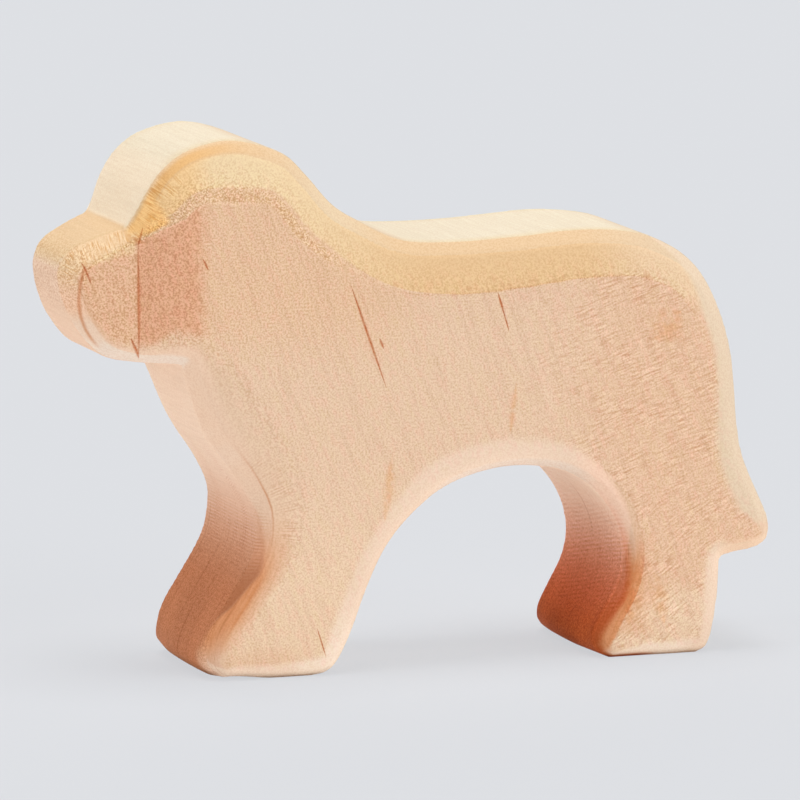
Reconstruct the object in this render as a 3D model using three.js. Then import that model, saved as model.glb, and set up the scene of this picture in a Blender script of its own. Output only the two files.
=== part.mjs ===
// A standing dog, sawn from one board of pale hardwood, with its edges sanded by hand.
// Millimetres. +Z is up, the dog looks along -X, and Y runs through the thickness of the board.
// The origin is on the ground, under the middle of the figure.

import * as THREE from 'three';

// Board
const BOARD_THICKNESS = 30;

// Heights above the ground, and how far the crown rises above the back
const SOLE_HEIGHT = 0;
const BACK_HEIGHT = 65.2;
const BELLY_HEIGHT = 30.3;
const SHIN_HEIGHT = 23.4;
const TAIL_TIP_HEIGHT = 18.8;
const CROWN_RISE = 16.8;

// Places along the figure, from its middle
const CROWN_X = -30;
const BACK_X = 4.5;
const BELLY_X = 14.8;
const SHIN_X = -26.4;
const FRONT_SOLE_X = -32;
const REAR_SOLE_X = 30;

// Head: steps from the crown, each [right, up]
const CROWN_TO_NAPE = [11.7, -5.9];
const CROWN_TO_BROW = [-13.2, -6.8];
const CROWN_TO_STOP = [-16.3, -12.9];

// Muzzle: from stop to nose and to jaw, steps about its edge, and its width at the crease and at the nose
const MUZZLE_LENGTH = 9.7;
const MUZZLE_DROP = 6.9;
const MUZZLE_DEPTH = 20.5;
const JAW_SETBACK = 1.8;
const NOSE_TO_BRIDGE = [1.4, 3.2];
const JAW_TO_CHIN = [-5.1, 1.2];
const JAW_TO_THROAT = [6.6, -0.4];
const CREASE_WIDTH = 23.2;
const NOSE_WIDTH = 19.2;

// Hollow of the cheek, in front of the full board
const CREASE_SETBACK = 1.6;
const CHEEK_LENGTH = 9.2;
const CHEEK_ROUNDING = 1.5;

// Back and tail: steps from the back's lowest place, and the tail's reach and drop from its root
const BACK_TO_WITHERS = [-14.8, 3.8];
const BACK_TO_LOIN = [20.5, 0.9];
const BACK_TO_RUMP = [34.1, -1.5];
const BACK_TO_HAUNCH = [43.7, -12.7];
const TAIL_ROOT_SETBACK = 2.7;
const TAIL_REACH = 5.1;
const TAIL_DROP = 16.7;
const TAIL_TIP_TO_NOTCH = [-8, -4.2];

// Legs: the soles, steps from their ends to toe and heel, and steps along the arch under the belly
const FRONT_SOLE_LENGTH = 14.4;
const FRONT_SOLE_TO_TOE = [-2.5, 3.9];
const FRONT_SOLE_TO_HEEL = [4.2, 2.6];
const REAR_SOLE_LENGTH = 14.2;
const REAR_SOLE_TO_TOE = [-2.4, 3.4];
const REAR_SOLE_TO_HEEL = [2.4, 2.6];
const BELLY_TO_ELBOW = [-17.7, -7.5];
const BELLY_TO_STIFLE = [14.1, -5.9];
const STIFLE_TO_HOCK = [3.3, -8.4];

// Fineness of the outline, of the cheek and of the moves that inset the outline
const OUTLINE_STEP = 1.6;
const CHEEK_FACETS = 4;
const INSET_STEPS = 12;

const WOOD_COLOUR = '#e9c39d';
const WOOD_ROUGHNESS = 0.7;

// A place on the outline, [x, z], one step from another place.
const by = (place, [right, up]) => [place[0] + right, place[1] + up];

// A place part of the way from one landmark to the next, pushed out from the straight line between them.
// Both the share and the bulge are fractions of that line's length.
function between(from, to, share, bulge) {
  const [right, up] = [to[0] - from[0], to[1] - from[1]];
  return by(from, [share * right + bulge * up, share * up - bulge * right]);
}

// Head
const CROWN = [CROWN_X, BACK_HEIGHT + CROWN_RISE];
const NAPE = by(CROWN, CROWN_TO_NAPE);
const BROW = by(CROWN, CROWN_TO_BROW);
const STOP = by(CROWN, CROWN_TO_STOP);
const NOSE = by(STOP, [-MUZZLE_LENGTH, -MUZZLE_DROP]);
const NOSE_BRIDGE = by(NOSE, NOSE_TO_BRIDGE);
const JAW = by(STOP, [JAW_SETBACK, -MUZZLE_DEPTH]);
const CHIN = by(JAW, JAW_TO_CHIN);
const THROAT = by(JAW, JAW_TO_THROAT);

// Back and tail
const BACK = [BACK_X, BACK_HEIGHT];
const WITHERS = by(BACK, BACK_TO_WITHERS);
const LOIN = by(BACK, BACK_TO_LOIN);
const RUMP = by(BACK, BACK_TO_RUMP);
const HAUNCH = by(BACK, BACK_TO_HAUNCH);
const TAIL_ROOT = [HAUNCH[0] + TAIL_ROOT_SETBACK, SOLE_HEIGHT + TAIL_TIP_HEIGHT + TAIL_DROP];
const TAIL_TIP = by(TAIL_ROOT, [TAIL_REACH, -TAIL_DROP]);
const TAIL_NOTCH = by(TAIL_TIP, TAIL_TIP_TO_NOTCH);

// Chest, legs and belly
const SHIN = [SHIN_X, SHIN_HEIGHT];
const BREAST = between(THROAT, SHIN, 0.19, 0.02);
const CHEST = between(THROAT, SHIN, 0.44, 0.03);
const FOREARM = between(THROAT, SHIN, 0.68, -0.01);
const FRONT_SOLE_START = [FRONT_SOLE_X, SOLE_HEIGHT];
const FRONT_SOLE_END = by(FRONT_SOLE_START, [FRONT_SOLE_LENGTH, 0]);
const FRONT_TOE = by(FRONT_SOLE_START, FRONT_SOLE_TO_TOE);
const FRONT_HEEL = by(FRONT_SOLE_END, FRONT_SOLE_TO_HEEL);
const BELLY = [BELLY_X, BELLY_HEIGHT];
const ELBOW = by(BELLY, BELLY_TO_ELBOW);
const STIFLE = by(BELLY, BELLY_TO_STIFLE);
const HOCK = by(STIFLE, STIFLE_TO_HOCK);
const REAR_SOLE_START = [REAR_SOLE_X, SOLE_HEIGHT];
const REAR_SOLE_END = by(REAR_SOLE_START, [REAR_SOLE_LENGTH, 0]);
const REAR_TOE = by(REAR_SOLE_START, REAR_SOLE_TO_TOE);
const REAR_HEEL = by(REAR_SOLE_END, REAR_SOLE_TO_HEEL);

// The outline runs anticlockwise as seen from -Y. Each stretch is one smooth curve from corner to corner.
const CHIN_STRETCH = [
  NOSE, between(NOSE, CHIN, 0.26, 0.08), between(NOSE, CHIN, 0.61, 0.1),
  CHIN, JAW, THROAT,
];
const FRONT_LEG_STRETCH = [
  THROAT, BREAST, CHEST, FOREARM, between(THROAT, SHIN, 0.87, -0.03),
  SHIN, between(SHIN, FRONT_TOE, 0.24, -0.05), between(SHIN, FRONT_TOE, 0.55, -0.01),
  between(SHIN, FRONT_TOE, 0.81, 0.03),
  FRONT_TOE, between(FRONT_TOE, FRONT_SOLE_START, 0.49, 0.19),
  FRONT_SOLE_START,
];
const ARCH_STRETCH = [
  FRONT_SOLE_END, between(FRONT_SOLE_END, FRONT_HEEL, 0.45, 0.16),
  FRONT_HEEL, between(FRONT_HEEL, ELBOW, 0.22, -0.01), between(FRONT_HEEL, ELBOW, 0.48, -0.04),
  between(FRONT_HEEL, ELBOW, 0.75, -0.05),
  ELBOW, between(ELBOW, BELLY, 0.35, -0.1), between(ELBOW, BELLY, 0.68, -0.09),
  BELLY, between(BELLY, STIFLE, 0.43, -0.12), between(BELLY, STIFLE, 0.74, -0.1),
  STIFLE, between(STIFLE, HOCK, 0.49, -0.08),
  HOCK, between(HOCK, REAR_TOE, 0.33, -0.06), between(HOCK, REAR_TOE, 0.69, -0.01),
  REAR_TOE, between(REAR_TOE, REAR_SOLE_START, 0.57, 0.2),
  REAR_SOLE_START,
];
const REAR_LEG_STRETCH = [
  REAR_SOLE_END, between(REAR_SOLE_END, REAR_HEEL, 0.43, 0.18),
  REAR_HEEL, between(REAR_HEEL, TAIL_NOTCH, 0.3, 0.02), between(REAR_HEEL, TAIL_NOTCH, 0.65, 0.02),
  TAIL_NOTCH,
];
const TOP_STRETCH = [
  TAIL_NOTCH, between(TAIL_NOTCH, TAIL_TIP, 0.26, 0.07), between(TAIL_NOTCH, TAIL_TIP, 0.62, 0.19),
  between(TAIL_NOTCH, TAIL_TIP, 0.85, 0.17),
  TAIL_TIP, between(TAIL_TIP, TAIL_ROOT, 0.14, 0.01), between(TAIL_TIP, TAIL_ROOT, 0.49, -0.03),
  between(TAIL_TIP, TAIL_ROOT, 0.75, -0.04),
  TAIL_ROOT, between(TAIL_ROOT, HAUNCH, 0.35, 0.03), between(TAIL_ROOT, HAUNCH, 0.67, 0.04),
  HAUNCH, between(HAUNCH, RUMP, 0.38, 0.1), between(HAUNCH, RUMP, 0.69, 0.1),
  RUMP, between(RUMP, LOIN, 0.38, 0.06),
  LOIN, between(LOIN, BACK, 0.54, -0.01),
  BACK, between(BACK, WITHERS, 0.51, -0.09),
  WITHERS, between(WITHERS, NAPE, 0.45, -0.07),
  NAPE, between(NAPE, CROWN, 0.39, 0.11),
  CROWN, between(CROWN, BROW, 0.44, 0.14), between(CROWN, BROW, 0.74, 0.12),
  BROW, between(BROW, STOP, 0.68, -0.02),
  STOP,
];
const MUZZLE_STRETCH = [STOP, between(STOP, NOSE_BRIDGE, 0.5, 0.04), NOSE_BRIDGE, NOSE];
const OUTLINE_STRETCHES = [
  CHIN_STRETCH,
  FRONT_LEG_STRETCH,
  [FRONT_SOLE_START, FRONT_SOLE_END],
  ARCH_STRETCH,
  [REAR_SOLE_START, REAR_SOLE_END],
  REAR_LEG_STRETCH,
  TOP_STRETCH,
  MUZZLE_STRETCH,
];

// How the sawn edge is dressed at each place. Each pair is [how far in from the sawn edge, how deep
// below the flank]: a chamfer, a wide shoulder inside it, and a feathered strip beside the flank.
const DRESSING = [
  { at: NOSE, chamfer: [2.6, 3.8], shoulder: [0.5, 0.2], feather: [0.3, 0.05] },
  { at: CHIN, chamfer: [2, 2.6], shoulder: [0.8, 0.3], feather: [0.4, 0.05] },
  { at: JAW, chamfer: [1.4, 1.8], shoulder: [1.2, 0.4], feather: [0.5, 0.06] },
  { at: THROAT, chamfer: [1.6, 2], shoulder: [2.8, 1.2], feather: [1, 0.15] },
  { at: BREAST, chamfer: [2, 3.2], shoulder: [4.4, 1.6], feather: [1.4, 0.2] },
  { at: CHEST, chamfer: [2.3, 4.4], shoulder: [5.4, 1.5], feather: [1.6, 0.3] },
  { at: FOREARM, chamfer: [2.2, 4.2], shoulder: [5.2, 1], feather: [1.4, 0.2] },
  { at: SHIN, chamfer: [2, 1.9], shoulder: [4, 0.6], feather: [1, 0.1] },
  { at: FRONT_TOE, chamfer: [1.7, 1.9], shoulder: [1.3, 0.3], feather: [0.6, 0.08] },
  { at: FRONT_SOLE_START, chamfer: [1, 1.2], shoulder: [0.6, 0.2], feather: [0.4, 0.05] },
  { at: FRONT_SOLE_END, chamfer: [1, 1.2], shoulder: [0.6, 0.2], feather: [0.4, 0.05] },
  { at: FRONT_HEEL, chamfer: [1.3, 1.5], shoulder: [0.8, 0.2], feather: [0.4, 0.05] },
  { at: ELBOW, chamfer: [1, 1.3], shoulder: [1.6, 0.5], feather: [0.6, 0.08] },
  { at: BELLY, chamfer: [1.2, 1.4], shoulder: [2.2, 0.7], feather: [0.6, 0.08] },
  { at: STIFLE, chamfer: [1.7, 1.7], shoulder: [1.4, 0.3], feather: [0.6, 0.08] },
  { at: HOCK, chamfer: [1.6, 1.7], shoulder: [0.9, 0.2], feather: [0.5, 0.06] },
  { at: REAR_TOE, chamfer: [1.7, 1.9], shoulder: [1, 0.25], feather: [0.5, 0.06] },
  { at: REAR_SOLE_START, chamfer: [1, 1.2], shoulder: [0.6, 0.2], feather: [0.4, 0.05] },
  { at: REAR_SOLE_END, chamfer: [1, 1.2], shoulder: [0.6, 0.2], feather: [0.4, 0.05] },
  { at: REAR_HEEL, chamfer: [1.4, 1.6], shoulder: [0.7, 0.2], feather: [0.4, 0.05] },
  { at: TAIL_NOTCH, chamfer: [1.6, 1.7], shoulder: [1, 0.25], feather: [0.5, 0.06] },
  { at: TAIL_TIP, chamfer: [1.3, 1.6], shoulder: [0.5, 0.2], feather: [0.3, 0.05] },
  { at: TAIL_ROOT, chamfer: [1.5, 1.9], shoulder: [1.7, 0.6], feather: [0.6, 0.08] },
  { at: HAUNCH, chamfer: [1.7, 2.1], shoulder: [2.2, 0.8], feather: [0.8, 0.1] },
  { at: RUMP, chamfer: [1.9, 2.2], shoulder: [3.4, 1], feather: [1, 0.12] },
  { at: LOIN, chamfer: [1.9, 1.8], shoulder: [4.4, 1], feather: [1, 0.12] },
  { at: BACK, chamfer: [1.9, 1.6], shoulder: [5, 1], feather: [1.2, 0.15] },
  { at: WITHERS, chamfer: [1.8, 1.6], shoulder: [4.6, 1], feather: [1.4, 0.2] },
  { at: NAPE, chamfer: [1.8, 1.6], shoulder: [4.2, 1], feather: [1.6, 0.2] },
  { at: CROWN, chamfer: [1.8, 1.6], shoulder: [5.2, 1], feather: [2.6, 0.3] },
  { at: BROW, chamfer: [1.7, 1.6], shoulder: [3.2, 0.8], feather: [2.2, 0.3] },
  { at: STOP, chamfer: [1.7, 1.4], shoulder: [0.4, 0.15], feather: [0.3, 0.05] },
  { at: NOSE_BRIDGE, chamfer: [2.8, 3.4], shoulder: [0.5, 0.2], feather: [0.3, 0.05] },
];
const BANDS = ['chamfer', 'shoulder', 'feather'];

// The sawn outline as points about one step apart, with every corner kept.
function sampleOutline() {
  const samples = [];
  for (const stretch of OUTLINE_STRETCHES) {
    const places = stretch.map(([x, z]) => new THREE.Vector2(x, z));
    const curve = new THREE.SplineCurve(places);
    const count = Math.max(1, Math.round(curve.getLength() / OUTLINE_STEP));
    samples.push(...curve.getSpacedPoints(count).slice(0, -1));
  }
  return samples;
}

// How far along the outline each sample lies, and the whole way round.
function distancesAlong(samples) {
  const distances = [0];
  for (let i = 1; i <= samples.length; i += 1) {
    const step = samples[i % samples.length].distanceTo(samples[i - 1]);
    distances.push(distances[i - 1] + step);
  }
  return distances;
}

// The dressing of every sample, blended between the two places on either side of it.
function dressOutline(samples) {
  const distances = distancesAlong(samples);
  const whole = distances[samples.length];
  const places = DRESSING.map((dressing) => {
    const target = new THREE.Vector2(...dressing.at);
    const gaps = samples.map((sample) => sample.distanceTo(target));
    return { ...dressing, along: distances[gaps.indexOf(Math.min(...gaps))] };
  });
  places.push({ ...places[0], along: places[0].along + whole });
  return samples.map((_, i) => {
    const next = places.findIndex((place) => place.along > distances[i]);
    const [before, after] = [places[next - 1], places[next]];
    const share = (distances[i] - before.along) / (after.along - before.along);
    return BANDS.map((band) => ({
      run: THREE.MathUtils.lerp(before[band][0], after[band][0], share),
      depth: THREE.MathUtils.lerp(before[band][1], after[band][1], share),
    }));
  });
}

// The ring moved inwards by each sample's own run, in small steps that keep its points apart.
function insetRing(ring, runs) {
  let current = ring;
  for (let step = 0; step < INSET_STEPS; step += 1) {
    current = current.map((point, i) => {
      const before = current[(i + ring.length - 1) % ring.length];
      const after = current[(i + 1) % ring.length];
      const along = after.clone().sub(before).normalize();
      const inwards = new THREE.Vector2(-along.y, along.x);
      const toMiddle = before.clone().add(after).multiplyScalar(0.5).sub(point);
      const evening = toMiddle.dot(inwards) > 0 ? toMiddle.dot(along) / 2 : 0;
      return point.clone()
        .addScaledVector(inwards, runs[i] / INSET_STEPS)
        .addScaledVector(along, evening);
    });
  }
  return current;
}

// Half the width of the wood at a place along the dog: the full board on the body, hollowed at the cheek,
// and slim at the nose.
const CREASE_X = STOP[0] + CREASE_SETBACK;
const CHEEK_END_X = CREASE_X + CHEEK_LENGTH;
function halfWidth(x) {
  if (x > CHEEK_END_X) {
    return BOARD_THICKNESS / 2;
  }
  if (x > CREASE_X) {
    const share = ((CHEEK_END_X - x) / CHEEK_LENGTH) ** CHEEK_ROUNDING;
    return THREE.MathUtils.lerp(BOARD_THICKNESS / 2, CREASE_WIDTH / 2, share);
  }
  return THREE.MathUtils.mapLinear(x, CREASE_X, NOSE[0], CREASE_WIDTH / 2, NOSE_WIDTH / 2);
}

// The rings from the sawn edge to the flank, as 3-D points on the +Y side.
function buildRings(samples) {
  const dressing = dressOutline(samples);
  const flat = [samples];
  for (let level = 0; level < BANDS.length; level += 1) {
    flat.push(insetRing(flat[level], dressing.map((bands) => bands[level].run)));
  }
  const flank = flat.at(-1);
  return flat.map((ring, level) => ring.map((point, i) => {
    const deeper = dressing[i].slice(level).reduce((sum, band) => sum + band.depth, 0);
    return new THREE.Vector3(point.x, halfWidth(flank[i].x) - deeper, point.y);
  }));
}

// The flank's point nearest to an upright line, slid along the flank's edge until it lies on that line.
function slideToLine(flank, x, from, to) {
  const straddles = (i) => (flank[i].x - x) * (flank[i + 1].x - x) <= 0;
  const crossing = flank.findIndex((_, i) => i >= from && i < to && straddles(i));
  const [before, after] = [flank[crossing], flank[crossing + 1]];
  const share = (x - before.x) / (after.x - before.x);
  const index = share < 0.5 ? crossing : crossing + 1;
  flank[index] = before.clone().lerp(after, share).setY(halfWidth(x));
  return index;
}

// The flank split by upright lines across the cheek, so that each piece of it bends along one line.
function flankPieces(flank, samples) {
  const indexOf = (place) => {
    const gaps = samples.map((point) => Math.hypot(point.x - place[0], point.y - place[1]));
    return gaps.indexOf(Math.min(...gaps));
  };
  const run = (from, to) => {
    const count = (to - from + flank.length) % flank.length;
    return Array.from({ length: count + 1 }, (_, k) => (from + k) % flank.length);
  };
  const [nose, chest, crown, stop] = [NOSE, CHEST, CROWN, STOP].map(indexOf);
  const lines = [];
  for (let line = 0; line <= CHEEK_FACETS; line += 1) {
    const x = THREE.MathUtils.lerp(CREASE_X, CHEEK_END_X, line / CHEEK_FACETS);
    lines.push({ low: slideToLine(flank, x, nose, chest), high: slideToLine(flank, x, crown, stop) });
  }
  const pieces = [run(lines[0].high, lines[0].low)];
  for (let line = 1; line <= CHEEK_FACETS; line += 1) {
    const [front, behind] = [lines[line - 1], lines[line]];
    pieces.push([...run(front.low, behind.low), ...run(behind.high, front.high)]);
  }
  pieces.push(run(lines[CHEEK_FACETS].low, lines[CHEEK_FACETS].high));
  return pieces;
}

// One closed skin: the sawn face across the board, the dressed bands and the flank of both sides.
function buildDogGeometry() {
  const samples = sampleOutline();
  const rings = buildRings(samples);
  const flank = rings.at(-1);
  const pieces = flankPieces(flank, samples);
  const mirrored = rings.map((ring) => ring.map((point) => point.clone().setY(-point.y)));
  const layers = [...mirrored.toReversed(), ...rings];
  const positions = layers.flat().flatMap((point) => point.toArray());
  const size = samples.length;
  const triangles = [];
  for (let layer = 0; layer + 1 < layers.length; layer += 1) {
    for (let i = 0; i < size; i += 1) {
      const [a, b] = [layer * size + i, layer * size + (i + 1) % size];
      const [c, d] = [a + size, b + size];
      triangles.push(a, d, b, a, c, d);
    }
  }
  const farFlank = (layers.length - 1) * size;
  for (const piece of pieces) {
    const contour = piece.map((i) => new THREE.Vector2(flank[i].x, flank[i].z));
    for (const corners of THREE.ShapeUtils.triangulateShape(contour, [])) {
      const [a, b, c] = corners.map((corner) => piece[corner]);
      triangles.push(a, b, c, farFlank + a, farFlank + c, farFlank + b);
    }
  }
  const geometry = new THREE.BufferGeometry();
  geometry.setAttribute('position', new THREE.Float32BufferAttribute(positions, 3));
  geometry.setIndex(triangles);
  geometry.computeVertexNormals();
  return geometry;
}

function buildDogFigure() {
  const material = new THREE.MeshStandardMaterial({
    color: WOOD_COLOUR,
    roughness: WOOD_ROUGHNESS,
    metalness: 0,
    flatShading: true,
  });
  const dog = new THREE.Mesh(buildDogGeometry(), material);
  dog.name = 'dog_figure';
  return dog;
}

const group = new THREE.Group();
group.add(buildDogFigure());

export default group;
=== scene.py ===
"""The looks of a wooden dog figure: its sanded skin, its pale hardwood, and a plain studio round it.

Metres. +Z is up, the dog looks along -X, and Y runs through the thickness of the board.
The material works in millimetres, in the same frame, and a place on the flank there is [x, z].
"""

import math

import bmesh
import bpy
import numpy as np
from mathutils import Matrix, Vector, noise
from mathutils.bvhtree import BVHTree
from mathutils.kdtree import KDTree


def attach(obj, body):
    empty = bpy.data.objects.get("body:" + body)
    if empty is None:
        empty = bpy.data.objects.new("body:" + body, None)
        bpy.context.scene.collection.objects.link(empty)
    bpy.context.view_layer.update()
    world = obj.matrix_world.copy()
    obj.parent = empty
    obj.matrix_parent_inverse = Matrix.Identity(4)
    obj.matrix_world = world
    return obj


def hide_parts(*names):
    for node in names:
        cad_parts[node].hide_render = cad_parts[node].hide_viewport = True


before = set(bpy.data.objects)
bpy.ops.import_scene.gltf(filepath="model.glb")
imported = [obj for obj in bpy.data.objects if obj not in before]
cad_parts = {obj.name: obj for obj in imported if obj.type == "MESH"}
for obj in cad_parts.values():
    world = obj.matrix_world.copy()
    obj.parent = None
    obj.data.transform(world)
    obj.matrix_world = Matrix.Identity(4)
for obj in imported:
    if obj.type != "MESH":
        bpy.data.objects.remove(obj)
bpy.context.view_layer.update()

MM = 0.001
NODE = "dog_figure"

# Fineness of the sanded skin, and how far sanding rounds and ripples it
GRID_STEP = 0.5 * MM
MERGE_GAP = 0.002 * MM
ROUNDING_PASSES = 6
ROUNDING_IN = 0.5
ROUNDING_OUT = -0.52
RIPPLE_HEIGHT = 0.05 * MM
RIPPLE_LENGTH = 7 * MM

# Step between the places where the sawn edge is measured
EDGE_STEP = 0.05 * MM

# How far in from the sawn edge the pale rim of the flank reaches, at places [x, z] round the outline, how
# steeply the flank slopes away over it, and the most that a place is counted past it, in reaches
RIM_REACH = [
    ((-46, 50), 0),
    ((-43, 49), 1.6),
    ((-40.5, 48.4), 3.2),
    ((-37.5, 47.5), 4.4),
    ((-36, 44), 4.8),
    ((-32.5, 39), 5.8),
    ((-29, 34), 6),
    ((-27, 29), 3.6),
    ((-26.5, 25), 2.6),
    ((-28, 19), 0),
    ((-35, 4), 0),
    ((-31, 0), 2.4),
    ((-20, 0), 3),
    ((-13, 6), 4.2),
    ((-6, 21), 4),
    ((2, 27.5), 5.4),
    ((14, 30), 5.2),
    ((22, 29), 4.7),
    ((28, 25), 3.3),
    ((31, 20), 2.4),
    ((31, 15), 0),
    ((27, 4), 0),
    ((31, 0), 1.6),
    ((35, 0), 2.6),
    ((42, 0), 2.8),
    ((47.5, 8), 3.6),
    ((48.3, 14), 3.8),
    ((50.5, 15.3), 2.2),
    ((55.5, 18), 2.6),
    ((54, 24), 5),
    ((51.5, 31), 5.3),
    ((51.5, 42), 4.6),
    ((48, 54), 4.5),
    ((42, 60), 3),
    ((36, 63), 0),
]
RIM_SLOPE = 0.09
RIM_LIMIT = 3

# Millimetres that sanding bowed each toe ahead between its corners, and lifted the front toe's corners
FRONT_TOE_BOW = 0.9
REAR_TOE_BOW = 1.2
FRONT_TOE_LIFT = 0.65

# Where the toes' bow and the lift of their corners begin, and where they are whole
TOE_BOW_Z = (9, 1)
FRONT_TOE_X = (-27, -33)
REAR_TOE_X = (33, 28)
REAR_TOE_AHEAD_X = (20, 24)
TOE_CORNER_X = (-24, -31)
TOE_CORNER_Y = (7, 15)
TOE_CORNER_Z = (5, 0)

# A CAD face whose normal leans less than this towards the flank was left by the saw
SAWN_LEAN = 0.05

# Rings of CAD points from the sawn face in to the flank
FLANK_RING = 3

# Directions in the wood: the grain runs down and to the rear, and sanding scratches rise to the rear
GRAIN_LEAN = math.radians(20)
HIP_SCRATCH_RISE = math.radians(19)
LEG_SCRATCH_RISE = math.radians(34)

# Photograph's view
CAMERA_AZIMUTH = math.radians(-18.75)
CAMERA_ELEVATION = math.radians(8.75)
CAMERA_DISTANCE = 1.4504
CAMERA_AIM = Vector((0.65, 0, 39.25)) * MM
CAMERA_LENS = 427.5
CAMERA_SENSOR = 36

# Colours of the sawn faces, linear
TOP_COLOUR = (0.835, 0.72, 0.54, 1)
BROW_TOP_COLOUR = (0.905, 0.745, 0.55, 1)
FRONT_COLOUR = (0.91, 0.67, 0.50, 1)
MUZZLE_TOP_COLOUR = (0.79, 0.55, 0.315, 1)
NOSE_COLOUR = (0.86, 0.59, 0.42, 1)
# Painted shade: the fronts of the legs, under the head and the belly, dark and reddish where little light
# falls
LEG_FRONT_SHADE_COLOUR = (0.66, 0.25, 0.112, 1)
REAR_LEG_FRONT_SHADE_COLOUR = (0.84, 0.18, 0.052, 1)
# Painted light: the sawn face under the belly's arch made paler, standing in for light thrown up from the
# floor
ARCH_FACE_LIGHT_COLOUR = (1.0, 0.77, 0.605, 1)

# Colours of the dressed edge and of the flank, linear
CHAMFER_COLOUR = (0.81, 0.57, 0.34, 1)
NECK_CHAMFER_COLOUR = (0.81, 0.625, 0.415, 1)
AMBER_COLOUR = (0.81, 0.48, 0.20, 1)
BROW_COLOUR = (0.955, 0.585, 0.245, 1)
BROW_SHOULDER_COLOUR = (0.895, 0.61, 0.315, 1)
MUZZLE_EDGE_COLOUR = (0.86, 0.605, 0.365, 1)
NOSE_SIDE_COLOUR = (0.91, 0.585, 0.395, 1)
FRONT_CHAMFER_COLOUR = (0.88, 0.63, 0.46, 1)
UNDER_CHAMFER_COLOUR = (0.875, 0.715, 0.59, 1)
REAR_CHAMFER_COLOUR = (0.77, 0.588, 0.40, 1)
# Painted half-shade: the orange strip over each leg's ridge, between the shaded front and the lit flank
STRIP_HALF_SHADE_COLOUR = (0.73, 0.32, 0.145, 1)
SHOULDER_COLOUR = (0.83, 0.56, 0.305, 1)
HEAD_SHOULDER_COLOUR = (0.895, 0.685, 0.42, 1)
REAR_SHOULDER_COLOUR = (0.85, 0.62, 0.40, 1)
RIM_COLOUR = (0.89, 0.68, 0.52, 1)
ARCH_RIM_COLOUR = (0.98, 0.69, 0.525, 1)
FOOT_RIM_COLOUR = (0.96, 0.785, 0.63, 1)
REAR_RIM_COLOUR = (0.815, 0.64, 0.465, 1)
FLANK_COLOUR = (0.845, 0.61, 0.435, 1)
# Painted light: the flank made paler low down, standing in for light thrown up from the floor
LOW_FLANK_LIGHT_COLOUR = (0.88, 0.655, 0.465, 1)
NECK_COLOUR = (0.835, 0.565, 0.375, 1)
HIP_COLOUR = (0.84, 0.57, 0.39, 1)
# Painted shade: the cheek darker and redder where the head narrows to the muzzle, over the shading of that
# taper
CHEEK_SHADE_COLOUR = (0.80, 0.44, 0.27, 1)
MUZZLE_SIDE_COLOUR = (0.825, 0.515, 0.33, 1)

# What pores, torn fibres, scratches, saw lines and flecks multiply the wood's colour by, and the painted
# shade and shadow on the legs' fronts, toes and soles
PORE_TINT = (0.85, 0.72, 0.625, 1)
PALE_TINT = (1.10, 1.165, 1.23, 1)
PINK_TINT = (1.01, 0.95, 0.955, 1)
YELLOW_TINT = (0.985, 0.985, 0.945, 1)
BRINK_TINT = (0.98, 0.945, 0.87, 1)
GRAIN_TINT = (0.95, 0.92, 0.89, 1)
OLIVE_TINT = (0.89, 0.79, 0.65, 1)
SCRATCH_TINT = (0.87, 0.73, 0.64, 1)
TORN_TINT = (0.88, 0.68, 0.45, 1)
SAW_TINT = (0.88, 0.86, 0.84, 1)
TOOTH_TINT = (0.89, 0.76, 0.63, 1)
TOOTH_PALE_TINT = (1.08, 1.20, 1.36, 1)
FIBRE_TINT = (0.86, 0.77, 0.70, 1)
FLECK_TINT = (0.66, 0.25, 0.075, 1)
STAIN_TINT = (0.96, 0.82, 0.68, 1)
CREASE_TINT = (0.76, 0.48, 0.32, 1)
RIDGE_TINT = (0.90, 0.76, 0.60, 1)
SHADE_TINT = (0.72, 0.69, 0.66, 1)
# Painted shade at the toes, darkest at the floor
TOE_SHADE_TINT = (0.80, 0.84, 0.66, 1)
# Painted shadow along the soles' bottom edge
SOLE_SHADE_TINT = (0.70, 0.58, 0.48, 1)

# Flecks and broad stains in the near flank, from one end to the other, and the half width of each
FLECKS = [
    ((-12.4, 60.0), (-6.6, 43.6), 0.34),
    ((-7.7, 51.3), (-7.0, 49.6), 0.34),
    ((11.2, 57.4), (12.3, 53.8), 0.32),
    ((11.9, 55.0), (13.0, 51.4), 0.2),
    ((-17.7, 7.6), (-16.2, 2.8), 0.17),
    ((-35.6, 64.6), (-34.7, 62.8), 0.28),
    ((-45.8, 52.6), (-44.3, 49.2), 0.36),
    ((-52.9, 64.1), (-51.6, 60.8), 0.3),
]
STAINS = [
    ((-5.6, 33.5), (-6.9, 23.0), 1.3),
    ((14.2, 43.5), (13.2, 35.5), 0.8),
    ((36.4, 49.0), (40.8, 53.2), 4.2),
    ((36.5, 13.0), (38.3, 5.0), 2.4),
    ((33.0, 16.0), (32.6, 5.0), 3.0),
]

# The creases at the cheek and over it, given as the flecks are, and the curved line round the muzzle, by its
# centre, radius and half width
CREASE = ((-44.7, 66.9), (-44.6, 49.8), 0.36)
BROW_CREASE = ((-44.0, 69.4), (-44.7, 66.4), 0.26)
LIP = ((-41.3, 59.2), 12.0, 0.36)

# Spacing of the lines that the saw's teeth and the sandpaper left, and the lean of the saw on the rear leg
SAW_SPACING = 0.5
REAR_SAW_SPACING = 0.68
COMB_SPACING = 0.4
REAR_SAW_TILT = 0.2

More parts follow.
